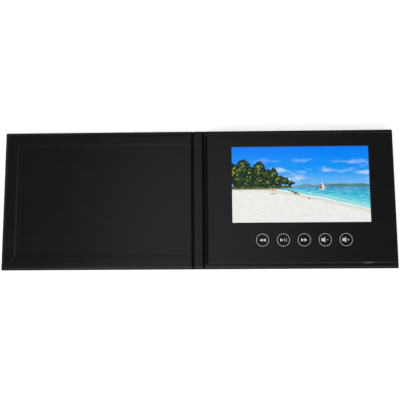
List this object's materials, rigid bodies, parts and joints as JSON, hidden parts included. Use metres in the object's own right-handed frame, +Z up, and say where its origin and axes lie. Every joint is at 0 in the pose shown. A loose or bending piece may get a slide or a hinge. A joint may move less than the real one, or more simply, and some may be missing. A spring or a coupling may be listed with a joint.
{
  "type": "lcd video brochure",
  "caption": "Hard case folder with a flat screen and round push buttons in a block on the back cover; the front cover folds shut over it.",
  "frame": {"origin": "middle of the spine on the table, with the case open and flat", "axes": "+X along the open case from spine to screen, +Y up the page, +Z up from the table"},
  "size_m": [0.449, 0.1592, 0.0139],
  "materials": {
    "black_leatherette": "satin, fine grained",
    "black_lining": "satin, smooth",
    "grey_board": "matt grey card",
    "adhesive_film": "matt film",
    "pressed_steel": "brushed",
    "screen_glass": "lit picture behind glass",
    "light_guide_plastic": "clear white",
    "flex_film": "amber film",
    "circuit_board": "green solder mask",
    "chip_plastic": "matt black moulding",
    "socket_plastic": "ivory moulding",
    "battery_foil": "satin foil pouch",
    "red_insulation": "smooth insulation",
    "black_insulation": "smooth insulation",
    "speaker_plastic": "matt moulding",
    "speaker_paper": "matt cone",
    "magnet_nickel": "nickel plate",
    "button_plastic": "polished black",
    "silver_foil": "hot stamped foil",
    "switch_plastic": "matt moulding"
  },
  "bodies": {
    "back_cover_and_block": {"back_board": "grey_board", "back_wrap": "black_leatherette", "back_liner": "black_lining", "block_adhesive": "adhesive_film", "block_floor": "grey_board", "block_core": "grey_board", "face_board": "grey_board", "block_wrap": "black_leatherette", "lcd_back_plate": "pressed_steel", "light_guide": "light_guide_plastic", "lcd_glass": "screen_glass", "lcd_bezel": "pressed_steel", "lcd_flex": "flex_film", "main_board": "circuit_board", "video_processor": "chip_plastic", "memory_chip": "chip_plastic", "power_coil": "chip_plastic", "cover_sensor": "chip_plastic", "flex_socket": "socket_plastic", "battery_socket": "socket_plastic", "speaker_socket": "socket_plastic", "board_link": "socket_plastic", "port_shell": "pressed_steel", "port_tongue": "chip_plastic", "battery_tape": "adhesive_film", "battery_cell": "battery_foil", "battery_guard": "circuit_board", "battery_lead_positive": "red_insulation", "battery_lead_negative": "black_insulation", "speaker_basket": "speaker_plastic", "speaker_cone": "speaker_paper", "speaker_leads": "black_insulation", "button_board": "circuit_board", "switch_previous": "switch_plastic", "switch_play": "switch_plastic", "switch_next": "switch_plastic", "switch_quieter": "switch_plastic", "switch_louder": "switch_plastic"},
    "spine": {"spine_board": "grey_board", "spine_wrap": "black_leatherette", "spine_liner": "black_lining"},
    "front_cover": {"front_board": "grey_board", "front_wrap": "black_leatherette", "front_liner": "black_lining", "cover_magnet": "magnet_nickel"},
    "previous_button": {"button_previous": "button_plastic", "foil_previous": "silver_foil"},
    "play_button": {"button_play": "button_plastic", "foil_play": "silver_foil"},
    "next_button": {"button_next": "button_plastic", "foil_next": "silver_foil"},
    "quieter_button": {"button_quieter": "button_plastic", "foil_quieter": "silver_foil"},
    "louder_button": {"button_louder": "button_plastic", "foil_louder": "silver_foil"}
  },
  "joints": [
    {"name": "back_crease", "type": "hinge", "parent": "back_cover_and_block", "child": "spine", "pos_m": [0.0078, 0, 0.0007], "axis": [0, 1, 0], "range_deg": [0, 90]},
    {"name": "front_crease", "type": "hinge", "parent": "spine", "child": "front_cover", "pos_m": [-0.0078, 0, 0.0007], "axis": [0, 1, 0], "range_deg": [0, 90]},
    {"name": "press_previous", "type": "slide", "parent": "back_cover_and_block", "child": "previous_button", "axis": [0, 0, -1], "range_m": [0, 0.0005], "stiffness_N_per_m": 2500},
    {"name": "press_play", "type": "slide", "parent": "back_cover_and_block", "child": "play_button", "axis": [0, 0, -1], "range_m": [0, 0.0005], "stiffness_N_per_m": 2500},
    {"name": "press_next", "type": "slide", "parent": "back_cover_and_block", "child": "next_button", "axis": [0, 0, -1], "range_m": [0, 0.0005], "stiffness_N_per_m": 2500},
    {"name": "press_quieter", "type": "slide", "parent": "back_cover_and_block", "child": "quieter_button", "axis": [0, 0, -1], "range_m": [0, 0.0005], "stiffness_N_per_m": 2500},
    {"name": "press_louder", "type": "slide", "parent": "back_cover_and_block", "child": "louder_button", "axis": [0, 0, -1], "range_m": [0, 0.0005], "stiffness_N_per_m": 2500}
  ],
  "couplings": [
    {"joint": "front_crease", "follows": "back_crease", "ratio": 1}
  ]
}
